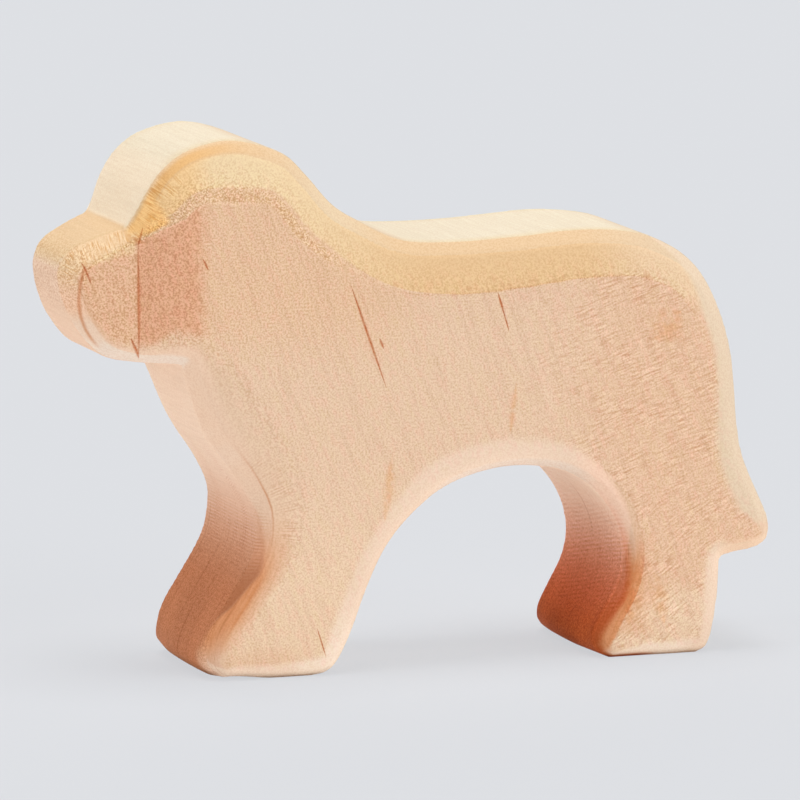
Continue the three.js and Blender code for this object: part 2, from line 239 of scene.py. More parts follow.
# Zones of the wood. A zone lies inside all its limits. A limit names a measure that WoodShader has, its
# value where the zone begins and its value where the zone is whole. A layer is a colour and its zone.
SAWN_TOP = [("facing_z", 0.15, 0.75)]
SAWN_BRINK = [("inset", 3.5, 0), ("facing_z", 0.5, 0.8)]
SAWN_LAYERS = [
    (REAR_CHAMFER_COLOUR, [("facing_x", 0.1, 0.4)]),
    (BROW_TOP_COLOUR, [("x", -38, -43), ("z", 66, 68)]),
    # Painted light on the sawn face under the belly's arch
    (ARCH_FACE_LIGHT_COLOUR, [("x", 4, 8), ("x", 38, 34), ("z", 36, 32)]),
    (MUZZLE_TOP_COLOUR, [("x", -45.9, -46.5), ("facing_z", 0.15, 0.5)]),
    (NOSE_COLOUR, [("x", -45.9, -46.5), ("facing_z", 0.35, 0.1)]),
]
CHAMFER_LAYERS = [
    (UNDER_CHAMFER_COLOUR, [("facing_z", -0.1, -0.4)]),
    (NECK_CHAMFER_COLOUR, [("x", -27, -15), ("x", -3, -15), ("z", 56, 60)]),
    (REAR_CHAMFER_COLOUR, [("x", 22, 44)]),
    (FRONT_CHAMFER_COLOUR, [("facing_x", -0.05, -0.3), ("facing_z", -0.6, -0.35), ("z", 58, 52)]),
    (NOSE_SIDE_COLOUR, [("x", -48, -52), ("z", 53.5, 57.5), ("z", 66, 62)]),
]
SHOULDER = [("inward", 0.96, 1.05)]
SHOULDER_LAYERS = [
    (HEAD_SHOULDER_COLOUR, [("x", 2, -28)]),
    (BROW_SHOULDER_COLOUR, [("x", -33, -38)]),
    (REAR_SHOULDER_COLOUR, [("x", 24, 38)]),
]
GOLDEN_BACK = [("z", 52, 57), ("x", -45.5, -44.5)]
PALE_RIM = [("ragged_rim", 1.15, 0.8)]
RIM_LAYERS = [
    (FRONT_CHAMFER_COLOUR, [("x", -16, -22)]),
    (ARCH_RIM_COLOUR, [("x", 22, 28), ("x", 40, 34)]),
    (FOOT_RIM_COLOUR, [("z", 14, 3), ("x", 44, 40)]),
    (REAR_RIM_COLOUR, [("x", 35, 40), ("z", 14, 20)]),
    (FLANK_COLOUR, [("x", 46, 49), ("z", 14, 16), ("z", 21, 19)]),
    (UNDER_CHAMFER_COLOUR, [("facing_z", -0.4, -0.7), ("z", 24, 30)]),
]
FLANK_LAYERS = [
    (HIP_COLOUR, [("x", 15, 36)]),
    (NECK_COLOUR, [("x", 5, -12), ("z", 44, 58)]),
]
FORE_HALF = [("x", 25, 5)]
FEET = [("z", 12, 8)]
LOW_FLANK = [("z", 34, 10)]
INNER_FLANK = [("dressing", 2.8, 3.0)]
BELOW_BROW = [("z", 64, 61)]
MUZZLE_LAYERS = [
    (MUZZLE_SIDE_COLOUR, [("x", -44.5, -44.9)]),
    (FRONT_CHAMFER_COLOUR, [("x", -37, -41), ("z", 56, 54), ("inset", 4.6, 2.4)]),
]
MUZZLE_EDGE = [("inset", 4.6, 3.8), ("x", -44.8, -45.6), ("z", 58, 64)]
AMBER_CHAMFER = [("dressing", 0.06, 0.5), ("inward", 1.15, 0.8), ("x", -24, -39), ("z", 68, 70)]
BROW_CORNER = [("dressing", 0.06, 0.5), ("inward", 2.8, 2.3), ("x", -46.8, -45.6), ("z", 67.4, 69)]

# Zones of the painted shade on the fronts of the legs: the dark face, the orange half-shade strip over the
# ridge, deeper shade along the edge, and at the toe
FRONT_LEG = [("x", -19, -23)]
FRONT_FACE = [("z", 34, 12)]
FRONT_STRIP = [("z", 28, 14), ("z", -3, 7)]
FRONT_SHADE = [("z", 20, 15)]
FRONT_TOE = [("z", 3, 0)]
FRONT_BRINK = [("inset", 1.0, 0)]
REAR_LEG = [("x", 20, 24), ("x", 38, 34)]
REAR_FACE = [("z", 27.5, 5)]
REAR_STRIP = [("z", 21, 12)]
REAR_SHADE = [("z", 18, 13)]
REAR_TOE = [("z", 10, 0)]
REAR_BRINK = [("inset", 5, 0.5)]
OFF_FACE = [("dressing", 0, 0.15)]

# Zones of the pores, torn fibres, scratches, saw lines and marks
NECK_SIDE = [("x", -4, -24), ("z", 44, 54)]
CHEEK_SIDE = [("x", -33, -39), ("z", 50, 53)]
NOSE_END = [("x", -48, -53), ("z", 55, 59), ("z", 68, 64)]
LOW_LEGS = [("z", 26, 14)]
HEAD_FEATHER = [("dressing", 1.85, 2.05), ("dressing", 3.0, 2.75), ("x", -9, -17), ("z", 58, 61)]
# Painted highlight: a pale line along the inner edge of the torn fibres on the head
HEAD_HIGHLIGHT_LINE = [("dressing", 2.86, 2.94), ("dressing", 3.01, 2.93), ("x", -26, -31), ("z", 66, 68)]
BACK_FEATHER = [("dressing", 2.55, 2.75), ("dressing", 3.05, 2.85), ("x", -10, 0), ("z", 52, 55)]
SANDED = [("dressing", 1.9, 2.5)]
HIP = [("x", 6, 34), ("z", 14, 30)]
REAR_LEG_SIDE = [("x", 18, 26), ("z", 30, 16)]
SCRATCHES = [(HIP, HIP_SCRATCH_RISE, (7, 1, 1)), (REAR_LEG_SIDE, LEG_SCRATCH_RISE, (6, 1, 1))]
CHEST_EDGE = [("x", -14, -17), ("z", 14, 22), ("z", 38, 30), ("inset", 2.8, 5.2), ("inset", 8.0, 5.6)]
TORN_EDGE = [("dressing", 0, 0.3), ("inset", 4.8, 3.4), ("x", -34, -42), ("z", 59, 63), ("z", 80, 76)]
LEG_FRONTS = [("facing_x", -0.2, -0.5), ("dressing", 1.0, 0.3)]
FRONT_TEETH = [("x", 0, -5), ("z", 12, 22), ("z", 30, 20)]
REAR_TEETH = [("x", 15, 20), ("z", 1, 9), ("z", 25, 17)]
LEG_FIBRES = [("z", 34, 22)]
OFF_SAW = [("dressing", 0.3, 0.8)]
CREASED = [("dressing", 0.7, 1.2)]
LIP_ARC = [("x", -48.5, -50.5), ("z", 50.3, 52.7), ("z", 64.7, 62.3), ("dressing", 0.1, 0.4)]
FRONT_RIDGE = [("x", -19, -22)]
CHEST_RIDGE = [("dressing", 0.92, 1.02), ("dressing", 1.08, 0.98), ("z", 18, 28), ("z", 37, 27)]
SHIN_RIDGE = [("dressing", 0.94, 1.14), ("dressing", 1.3, 1.1), ("z", 5.5, 10.5), ("z", 18.5, 13.5)]
# Painted shadow along the bottom edge of the soles
SOLE_EDGE = [("z", 0.45, 0.1)]

# Steps of noise: where dark and pale speckles, patches, fibres and stains begin and where they are whole
DARK_STEP = (0.52, 0.34)
PALE_STEP = (0.48, 0.66)
PATCH_STEP = (0.4, 0.6)
FIBRE_STEP = (0.42, 0.36)
STAIN_STEP = (0.3, 0.6)

# The rear border of the painted shade on the cheek, its jaw from a corner [x, z] along two slopes, and the
# line ahead of the brow
CHEEK_BORDER = (-33.8, -37.2)
CHEEK_WANDER = 3.0
JAW_CORNER = (-39.6, 53.3)
JAW_SLOPES = (0.73, -0.2)
JAW_SOFTNESS = (-0.5, 1.4)
BROW_LINE = ((-40.6, 70), -1.6)
BROW_LINE_SOFTNESS = (1.8, -0.8)

# Ramps along a measure: where each starts and ends, and its value before the start and after the end.
# The feather's and the legs' edges are counted in rings from the sawn face.
FEATHER_START = [(-30, -22, 1.9, 1.7), (-16, 6, 0, 1.06)]
FEATHER_WIDTH = 0.22
FRONT_TOE_EDGE = (4, 11, -1.4, 0.38)
FAR_TOE_EDGE = (-2, 2, -1.4, 0.38)
FRONT_LEG_EDGE = [(11, 16, 0, 0.5), (17, 27, 0, -0.9)]
FRONT_EDGE_SOFTNESS = (4, 10, 0.9, 0.2)
FRONT_STRIP_END = [(2, 5, 1.2, 3.0), (5, 12, 3.0, 2.4)]
FRONT_STRIP_FULL = (3, 9, -1.0, 0.75)
FRONT_STRIP_TRACE = (3, 5.5, 0.3, 0)
FRONT_BRINK_TRACE = (0.5, 5, 0.35, 0)
REAR_LEG_EDGE = [(2, 9, 0.3, 0.86), (9, 15, 0, -0.55)]
REAR_EDGE_SOFTNESS = 0.45
REAR_STRIP_END = 3.0
REAR_STRIP_FULL = (3, 9, 1.6, 2.4)
REAR_STRIP_TRACE = (4, 8, 0.4, 0)
REAR_STRIP_SLANT = -1.2
REAR_STRIP_FOOT = (-0.4, 1.0)
REAR_BRINK_DEPTH = (6, 15, 0.75, 0)
STRIP_START = (-0.3, 0.1)
FACE_END = -0.16

# Depths of the pores and of the lines, from 0 to 1
PORE_DEPTH = 0.28
FLANK_PORES = 0.32
NECK_PORES = 0.15
CHEEK_PORES = 0.3
BARE_PORES = 0.7
STREAK_DEPTH = 0.35
GRIT_DEPTH = 0.7
CHEST_DEPTH = 0.12
SAW_DEPTH = 0.2
LIP_DEPTH = 0.85

# Relief of the pores and of the saw's lines, and the wood's gloss
RELIEF_HEIGHT = 0.05 * MM
RELIEF_STRENGTH = 0.5
ROUGHNESS = 0.85
PORE_ROUGHNESS = -0.3
GLOSS = 0.2

# The near flank across the board, the sawn face and the flank in rings, and the flank inside its rim
NEAR_SIDE = (2, -2)
SAWN_RINGS = (0.09, 0.02)
FLANK_RINGS = (0.9, 2.2)
OFF_RIM = (0.85, 1.05)

# Rings that a millimetre in over the sawn face counts for, and how far the edges of zones wander
SAWN_RINGS_PER_MM = -0.3
EDGE_WANDER = 0.08
RIM_WANDER = 0.15

# Half width of a stroke at its ends
STROKE_TIP = 0.02

# Studio: its colours, the light on the floor, the floor's size, and how much of the shadow on it shows
BACKDROP_COLOUR = (0.730, 0.745, 0.776, 1)
FLOOR_COLOUR = (0.95, 0.95, 0.95, 1)
FLOOR_LIGHT = 1.12
FLOOR_SIZE = 40
SHADOW_SHARE = 0.2

# Lamps: name, azimuth, elevation and spread in degrees, and strength
LAMPS = [
    ("top_lamp", 0, 90, 36, 2.34),
    ("front_lamp", 42, 17, 40, 1.6),
    ("left_lamp", -90, 25, 36, 1.08),
    ("back_lamp", 170, 25, 40, 0.7),
]


def cad_surface():
    """The CAD node's points and triangles, with points at the same place merged."""
    skin = bmesh.new()
    skin.from_mesh(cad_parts[NODE].data)
    bmesh.ops.remove_doubles(skin, verts=skin.verts, dist=MERGE_GAP)
    bmesh.ops.triangulate(skin, faces=skin.faces)
    skin.verts.index_update()
    points = np.array([vertex.co for vertex in skin.verts])
    triangles = np.array([[vertex.index for vertex in face.verts] for face in skin.faces])
    skin.free()
    return points, triangles


def rings_from_saw(points, triangles):
    """How many rings each CAD point lies in from the sawn face: 0 on it, and FLANK_RING on the flank."""
    corners = points[triangles]
    normals = np.cross(corners[:, 1] - corners[:, 0], corners[:, 2] - corners[:, 0])
    lean = np.abs(normals[:, 1]) / np.linalg.norm(normals, axis=1)
    rings = np.full(len(points), float(FLANK_RING))
    reached = np.zeros(len(points), bool)
    reached[np.unique(triangles[lean < SAWN_LEAN])] = True
    rings[reached] = 0
    for ring in range(1, FLANK_RING):
        touching = triangles[reached[triangles].any(axis=1)]
        new = np.setdiff1d(np.unique(touching), np.flatnonzero(reached))
        rings[new] = ring
        reached[new] = True
    return rings


def refined_mesh(points, triangles):
    """The CAD surface as an even mesh of small squares."""
    coarse = bpy.data.meshes.new("dog_wood_coarse")
    coarse.from_pydata(points.tolist(), [], triangles.tolist())
    carrier = bpy.data.objects.new("dog_wood_coarse", coarse)
    bpy.context.scene.collection.objects.link(carrier)
    remesh = carrier.modifiers.new("grid", "REMESH")
    remesh.mode = "VOXEL"
    remesh.voxel_size = GRID_STEP
    ready = carrier.evaluated_get(bpy.context.evaluated_depsgraph_get())
    fine = bpy.data.meshes.new_from_object(ready)
    fine.name = "dog_wood"
    bpy.data.objects.remove(carrier)
    bpy.data.meshes.remove(coarse)
    return fine


def mesh_points(mesh):
    flat = np.empty(len(mesh.vertices) * 3)
    mesh.vertices.foreach_get("co", flat)
    return flat.reshape(-1, 3)


def mesh_edges(mesh):
    flat = np.empty(len(mesh.edges) * 2, int)
    mesh.edges.foreach_get("vertices", flat)
    return flat.reshape(-1, 2)


def mesh_normals(mesh):
    flat = np.empty(len(mesh.vertices) * 3)
    mesh.vertex_normals.foreach_get("vector", flat)
    return flat.reshape(-1, 3)


def set_points(mesh, points):
    mesh.vertices.foreach_set("co", points.astype(np.float32).ravel())
    mesh.update()


def add_attribute(mesh, name, values):
    attribute = mesh.attributes.new(name, "FLOAT", "POINT")
    attribute.data.foreach_set("value", values.astype(np.float32))


def rounded(points, edges):
    """The points with their edges softened, moved in and then out again so that nothing shrinks."""
    count = len(points)
    ends = np.concatenate([edges[:, 0], edges[:, 1]])
    others = np.concatenate([edges[:, 1], edges[:, 0]])
    share = 1 / np.bincount(ends, minlength=count)
    for _ in range(ROUNDING_PASSES):
        for amount in (ROUNDING_IN, ROUNDING_OUT):
            sums = [np.bincount(ends, points[others, axis], minlength=count) for axis in range(3)]
            means = np.stack(sums, axis=1) * share[:, None]
            points = points + amount * (means - points)
    return points


def rippled(points, normals):
    """The points moved a hair's breadth along their normals, as a hand with sandpaper leaves them."""
    heights = [noise.noise(Vector(point) / RIPPLE_LENGTH) for point in points]
    return points + RIPPLE_HEIGHT * np.array(heights)[:, None] * normals


def carried_over(points, cad_points, cad_triangles, values):
    """Values of the CAD points, read at the nearest place on the CAD surface to each point."""
    tree = BVHTree.FromPolygons(cad_points.tolist(), cad_triangles.tolist())
    found = [tree.find_nearest(Vector(point)) for point in points]
    places = np.array([hit[0] for hit in found])
    corners = cad_triangles[[hit[2] for hit in found]]
    a, b, c = (cad_points[corners[:, k]] for k in range(3))
    whole = np.cross(b - a, c - a)
    size = (whole * whole).sum(axis=1)
    share_b = (np.cross(places - a, c - a) * whole).sum(axis=1) / size
    share_c = (np.cross(b - a, places - a) * whole).sum(axis=1) / size
    shares = np.stack([1 - share_b - share_c, share_b, share_c], axis=1)
    return (values[corners] * shares).sum(axis=1)


def sawn_edge(points, triangles, side):
    """The CAD points along the edge of the sawn face on one side of the board, in order round the dog."""
    corners = points[triangles]
    normals = np.cross(corners[:, 1] - corners[:, 0], corners[:, 2] - corners[:, 0])
    sawn = np.abs(normals[:, 1]) < SAWN_LEAN * np.linalg.norm(normals, axis=1)
    after = {}
    for triangle in triangles[sawn]:
        for start, end in zip(triangle, np.roll(triangle, -1)):
            if points[start][1] * side > 0 and points[end][1] * side > 0:
                after[start] = end
    lowest = min(after, key=lambda index: tuple(points[index][[2, 0]]))
    loop = [lowest]
    while after[loop[-1]] != lowest:
        loop.append(after[loop[-1]])
    return points[loop + [lowest]]


def edge_samples(edge):
    """Places close together along a sawn edge, how far round the dog each is, and its rim's reach."""
    along = np.concatenate([[0], np.cumsum(np.linalg.norm(np.diff(edge, axis=0), axis=1))])
    runs = np.arange(0, along[-1], EDGE_STEP)
    samples = np.stack([np.interp(runs, along, edge[:, axis]) for axis in range(3)], axis=1)
    gaps = [np.linalg.norm(samples[:, [0, 2]] - np.array(place) * MM, axis=1) for place, _ in RIM_REACH]
    stations = [runs[gap.argmin()] for gap in gaps]
    reaches = np.interp(runs, stations, [reach * MM for _, reach in RIM_REACH], period=along[-1])
    return samples, runs, reaches


def edge_places(points, edges):
    """How far in from the nearest sawn edge each point lies, how far round the dog, and its rim's reach."""
    parts = [edge_samples(edge) for edge in edges]
    samples, runs, reaches = (np.concatenate(part) for part in zip(*parts))
    tree = KDTree(len(samples))
    for index, sample in enumerate(samples):
        tree.insert(sample, index)
    tree.balance()
    found = [tree.find(point) for point in points]
    nearest = [index for _, index, _ in found]
    inset = np.array([gap for _, _, gap in found])
    return inset, runs[nearest], reaches[nearest]


def eased(value, start, end):
    """0 before start and 1 after end, with a soft step between them. Start may be the larger one."""
    share = np.clip((value - start) / (end - start), 0, 1)
    return share * share * (3 - 2 * share)


def bevelled(points, inset, reach):
    """The points with the flank sloping away to the sawn edge over its rim."""
    height = np.abs(points[:, 1]).max() - RIM_SLOPE * np.maximum(reach - inset, 0)
    moved = points.copy()
    moved[:, 1] = np.clip(points[:, 1], -height, height)
    return moved


def rounded_toes(points):
    """The points with the toes bowed ahead between their corners, and the front toe's corners lifted."""
    x, y, z = points.T / MM
    bow = (1 - (y / y.max()) ** 2) * eased(z, *TOE_BOW_Z)
    front = eased(x, *FRONT_TOE_X)
    rear = eased(x, *REAR_TOE_X) * eased(x, *REAR_TOE_AHEAD_X)
    corner = eased(x, *TOE_CORNER_X) * eased(np.abs(y), *TOE_CORNER_Y) * eased(z, *TOE_CORNER_Z)
    moved = points.copy()
    moved[:, 0] -= bow * (FRONT_TOE_BOW * front + REAR_TOE_BOW * rear) * MM
    moved[:, 2] += FRONT_TOE_LIFT * corner * MM
    return moved


def build_dog():
    """The sanded skin that stands for the CAD node, with the measures that its material reads."""
    cad_points, cad_triangles = cad_surface()
    mesh = refined_mesh(cad_points, cad_triangles)
    points = mesh_points(mesh)
    rings = rings_from_saw(cad_points, cad_triangles)
    edges = [sawn_edge(cad_points, cad_triangles, side) for side in (-1, 1)]
    inset, around, reach = edge_places(points, edges)
    add_attribute(mesh, "dressing", carried_over(points, cad_points, cad_triangles, rings))
    add_attribute(mesh, "inset", inset / MM)
    add_attribute(mesh, "around", around / MM)
    add_attribute(mesh, "rim", np.minimum(inset / np.maximum(reach, EDGE_STEP), RIM_LIMIT))
    points = rounded_toes(bevelled(points, inset, reach))
    set_points(mesh, rounded(points, mesh_edges(mesh)))
    set_points(mesh, rippled(mesh_points(mesh), mesh_normals(mesh)))
    mesh.shade_smooth()
    mesh.materials.append(wood_material())
    dog = bpy.data.objects.new("dog_wood", mesh)
    bpy.context.scene.collection.objects.link(dog)
    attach(dog, "root")
    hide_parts(NODE)


class Shader:
    """Short ways to add and join the nodes of one material."""

    def __init__(self, name):
        self.material = bpy.data.materials.new(name)
        self.material.use_nodes = True
        self.tree = self.material.node_tree
        self.tree.nodes.clear()

    def node(self, kind, **settings):
        made = self.tree.nodes.new(kind)
        for name, value in settings.items():
            setattr(made, name, value)
        return made

    def feed(self, socket, value):
        if isinstance(value, bpy.types.NodeSocket):
            self.tree.links.new(value, socket)
        else:
            socket.default_value = value

    def math(self, operation, *values):
        made = self.node("ShaderNodeMath", operation=operation)
        for socket, value in zip(made.inputs, values):
            self.feed(socket, value)
        return made.outputs[0]

    def joined(self, operation, values):
        """One value made from several, one after the other, by the same operation."""
        result = values[0]
        for value in values[1:]:
            result = self.math(operation, result, value)
        return result

    def both(self, *masks):
        """1 only where every mask is 1."""
        return self.joined("MULTIPLY", masks)

    def either(self, *masks):
        """1 where any mask is 1."""
        return self.joined("MAXIMUM", masks)

    def total(self, *values):
        return self.joined("ADD", values)

    def smooth(self, value, start, end):
        """0 before start and 1 after end, with a soft step between them. Start may be the larger one."""
        made = self.node("ShaderNodeMapRange", interpolation_type="SMOOTHSTEP")
        self.feed(made.inputs["Value"], value)
        self.feed(made.inputs["From Min"], start)
        self.feed(made.inputs["From Max"], end)
        return made.outputs["Result"]

    def ramp(self, value, start, end, low, high):
        """Low before start and high after end, and even between them."""
        made = self.node("ShaderNodeMapRange")
        self.feed(made.inputs["Value"], value)
        made.inputs["From Min"].default_value = start
        made.inputs["From Max"].default_value = end
        made.inputs["To Min"].default_value = low
        made.inputs["To Max"].default_value = high
        return made.outputs["Result"]

    def outside(self, mask):
        """1 where the mask is 0."""
        return self.math("SUBTRACT", 1.0, mask)

    def mix(self, share, first, second, blend="MIX"):
        made = self.node("ShaderNodeMix", data_type="RGBA", blend_type=blend)
        colours = [socket for socket in made.inputs if socket.type == "RGBA"]
        self.feed(made.inputs["Factor"], share)
        self.feed(colours[0], first)
        self.feed(colours[1], second)
        return [socket for socket in made.outputs if socket.type == "RGBA"][0]

    def vector(self, operation, *values):
        made = self.node("ShaderNodeVectorMath", operation=operation)
        for socket, value in zip(made.inputs, values):
            self.feed(socket, value)
        return made

    def scaled(self, vector, factor):
        made = self.node("ShaderNodeVectorMath", operation="SCALE")
        self.feed(made.inputs[0], vector)
        self.feed(made.inputs["Scale"], factor)
        return made.outputs[0]

    def noise(self, vector, scale, detail=2.0, roughness=0.5):
        made = self.node("ShaderNodeTexNoise")
        self.feed(made.inputs["Vector"], vector)
        made.inputs["Scale"].default_value = scale
        made.inputs["Detail"].default_value = detail
        made.inputs["Roughness"].default_value = roughness
        return made.outputs["Fac"]

    def finish(self, surface):
        output = self.node("ShaderNodeOutputMaterial")
        self.feed(output.inputs["Surface"], surface)
        return self.material


class WoodShader(Shader):
    """A shader that has measures of each place on the dog, and the ways to mark it by them.

    x, y and z are its place, inset how far in it lies from the sawn edge and around how far round the dog,
    all in millimetres. facing_x and facing_z are parts of its normal. dressing counts rings of CAD points
    from the sawn face, inward is the same with ragged edges, and across goes on below 0 over the sawn face.
    rim is the inset as a share of the pale rim's reach, and ragged_rim the same with ragged edges. near_side,
    sawn, on_flank and off_rim are masks.
    """

    def __init__(self, name):
        super().__init__(name)
        coordinates = self.node("ShaderNodeTexCoord")
        self.place = self.scaled(coordinates.outputs["Object"], 1 / MM)
        self.x, self.y, self.z = self.parts(self.place)
        self.facing_x, _, self.facing_z = self.parts(coordinates.outputs["Normal"])
        self.in_plane = self.vector("MULTIPLY", self.place, (1, 0, 1)).outputs[0]
        self.near_side = self.smooth(self.y, *NEAR_SIDE)
        self.dressing = self.attribute("dressing")
        self.inset = self.attribute("inset")
        self.around = self.attribute("around")
        self.rim = self.attribute("rim")
        self.sawn = self.smooth(self.dressing, *SAWN_RINGS)
        over_sawn = self.both(self.sawn, self.inset)
        self.across = self.math("MULTIPLY_ADD", over_sawn, SAWN_RINGS_PER_MM, self.dressing)
        self.on_flank = self.smooth(self.dressing, *FLANK_RINGS)
        self.off_rim = self.smooth(self.rim, *OFF_RIM)
        self.inward = self.wandering(self.dressing, EDGE_WANDER, scale=1.6, detail=3)
        self.ragged_rim = self.wandering(self.rim, RIM_WANDER, scale=1.6, detail=3)

    def attribute(self, name):
        return self.node("ShaderNodeAttribute", attribute_name=name).outputs["Fac"]

    def parts(self, vector):
        made = self.node("ShaderNodeSeparateXYZ")
        self.feed(made.inputs[0], vector)
        return made.outputs

    def stretched(self, turn, stretch):
        """Places turned in the board's plane and squeezed, so that what is made from them is drawn out."""
        made = self.node("ShaderNodeMapping", vector_type="TEXTURE")
        self.feed(made.inputs["Vector"], self.place)
        made.inputs["Rotation"].default_value = (0, turn, 0)
        made.inputs["Scale"].default_value = stretch
        return made.outputs["Vector"]

    def by_edge(self, along, across):
        """Places squeezed along the sawn edge or across it, so that what is made from them is drawn out."""
        made = self.node("ShaderNodeCombineXYZ")
        self.feed(made.inputs["X"], self.math("DIVIDE", self.around, along))
        self.feed(made.inputs["Y"], self.math("DIVIDE", self.inset, across))
        return made.outputs[0]

    def stroke(self, start, end, width):
        """1 on a straight mark from one place on the flank to another, pointed at its ends.

        Its half width is the width given in the middle, where the swell is a quarter.
        """
        first = Vector((start[0], 0, start[1]))
        whole = Vector((end[0], 0, end[1])) - first
        offset = self.vector("SUBTRACT", self.in_plane, tuple(first)).outputs[0]
        run = self.vector("DOT_PRODUCT", offset, tuple(whole / whole.length_squared)).outputs["Value"]
        run = self.math("MINIMUM", self.math("MAXIMUM", run, 0.0), 1.0)
        foot = self.scaled(tuple(whole), run)
        gap = self.vector("DISTANCE", offset, foot).outputs["Value"]
        swell = self.math("MULTIPLY", run, self.outside(run))
        return self.smooth(gap, self.math("MULTIPLY_ADD", swell, 4 * width, STROKE_TIP), 0.0)

    def ring(self, centre, radius, width):
        """1 on a thin circle on the flank."""
        gap = self.vector("DISTANCE", self.in_plane, (centre[0], 0, centre[1])).outputs["Value"]
        gap = self.math("ABSOLUTE", self.math("SUBTRACT", gap, radius))
        return self.smooth(gap, width, 0.0)

    def slope(self, place, rise):
        """How high this place is over a line through a place on the flank that rises by so much per step."""
        line = self.math("MULTIPLY_ADD", self.math("SUBTRACT", self.x, place[0]), rise, place[1])
        return self.math("SUBTRACT", self.z, line)

    def lines(self, value, spacing):
        """Even lines across a value, so many millimetres apart, that wander a little: 0 on each line."""
        wander = self.math("MULTIPLY_ADD", self.noise(self.place, scale=0.12), spacing, value)
        wave = self.math("SINE", self.math("MULTIPLY", wander, math.tau / spacing))
        return self.math("MULTIPLY_ADD", wave, 0.5, 0.5)

    def wandering(self, value, amount, scale, detail=2.0):
        """The value moved up and down by noise, over so much in all."""
        drift = self.math("SUBTRACT", self.noise(self.place, scale, detail), 0.5)
        return self.math("MULTIPLY_ADD", drift, amount, value)

    def patches(self, value, low, high):
        """Soft patches of a noise: low in some places, and high in others."""
        return self.ramp(value, *PATCH_STEP, low, high)

    def tint(self, colour, share, tint):
        """The colour multiplied by a tint, as far as the share says."""
        return self.mix(share, colour, tint, "MULTIPLY")

    def speckle(self, colour, value, depth, dark, pale):
        """The colour tinted dark where the value is low, and pale where it is high."""
        colour = self.tint(colour, self.both(depth, self.smooth(value, *DARK_STEP)), dark)
        return self.tint(colour, self.both(depth, self.smooth(value, *PALE_STEP)), pale)

    def zone(self, limits):
        """1 where a zone is whole, with a soft step at each of its limits."""
        return self.both(*[self.smooth(getattr(self, measure), start, end) for measure, start, end in limits])

    def painted(self, colour, layers):
        """The colour with layers of other colours over it, each in its zone."""
        for layer, limits in layers:
            colour = self.mix(self.zone(limits), colour, layer)
        return colour


def sawn_colour(wood):
    """Cream where the sawn face looks up or back, pink where it looks ahead, and golden on the muzzle."""
    colour = wood.mix(wood.zone(SAWN_TOP), FRONT_COLOUR, TOP_COLOUR)
    colour = wood.tint(colour, wood.zone(SAWN_BRINK), BRINK_TINT)
    return wood.painted(colour, SAWN_LAYERS)


def chamfer_colour(wood):
    """Golden on top, paler on the neck, pink ahead and pale underneath."""
    return wood.painted(CHAMFER_COLOUR, CHAMFER_LAYERS)


def shoulder_colour(wood, flank):
    """Pale gold on the head, deeper at the brow and the back, and like the flank away from them."""
    gold = wood.painted(SHOULDER_COLOUR, SHOULDER_LAYERS)
    return wood.mix(wood.zone(GOLDEN_BACK), flank, gold)


def rim_colour(wood):
    """Pale pink on the chest and the arch, paler on the feet, yellower on the rump, tan under the tail."""
    return wood.painted(RIM_COLOUR, RIM_LAYERS)


def flank_colour(wood):
    """Pale tan, palest low down where light from the floor is painted in, more orange on the hip, redder on
    the neck and muzzle, and darker and redder on the cheek in painted shade.
    """
    colour = wood.painted(FLANK_COLOUR, FLANK_LAYERS)
    low = wood.both(wood.either(wood.zone(FORE_HALF), wood.zone(FEET)), wood.zone(LOW_FLANK))
    # Painted light low on the flank
    colour = wood.mix(low, colour, LOW_FLANK_LIGHT_COLOUR)
    along = wood.wandering(wood.x, CHEEK_WANDER, scale=0.5)
    jaw = wood.either(*[wood.slope(JAW_CORNER, rise) for rise in JAW_SLOPES])
    below = wood.either(wood.zone(INNER_FLANK), wood.zone(BELOW_BROW))
    cheek = wood.both(wood.smooth(along, *CHEEK_BORDER), wood.smooth(jaw, *JAW_SOFTNESS), below)
    # Painted shade on the cheek
    colour = wood.mix(cheek, colour, CHEEK_SHADE_COLOUR)
    return wood.painted(colour, MUZZLE_LAYERS)


def amber_colour(wood, colour):
    """The colour with amber on the chamfer over the brow, and deeper amber on the brow's corner."""
    colour = wood.mix(wood.zone(AMBER_CHAMFER), colour, AMBER_COLOUR)
    ahead = wood.smooth(wood.slope(*BROW_LINE), *BROW_LINE_SOFTNESS)
    return wood.mix(wood.both(wood.zone(BROW_CORNER), ahead), colour, BROW_COLOUR)


def zone_colour(wood):
    """The plain colour of each zone, from the sawn face, over its dressed edge, in to the flank, with painted
    light under the arch and low on the flank, and painted shade on the cheek.
    """
    flank = flank_colour(wood)
    colour = wood.mix(wood.zone(SHOULDER), chamfer_colour(wood), shoulder_colour(wood, flank))
    start = wood.total(*[wood.ramp(wood.x, *ramp) for ramp in FEATHER_START])
    feather = wood.smooth(wood.math("SUBTRACT", wood.inward, start), 0.0, FEATHER_WIDTH)
    colour = wood.mix(feather, colour, flank)
    colour = wood.mix(wood.zone(PALE_RIM), colour, rim_colour(wood))
    muzzle_edge = wood.both(wood.zone(MUZZLE_EDGE), wood.outside(wood.sawn))
    colour = wood.mix(muzzle_edge, colour, MUZZLE_EDGE_COLOUR)
    colour = amber_colour(wood, colour)
    return wood.mix(wood.sawn, colour, sawn_colour(wood))


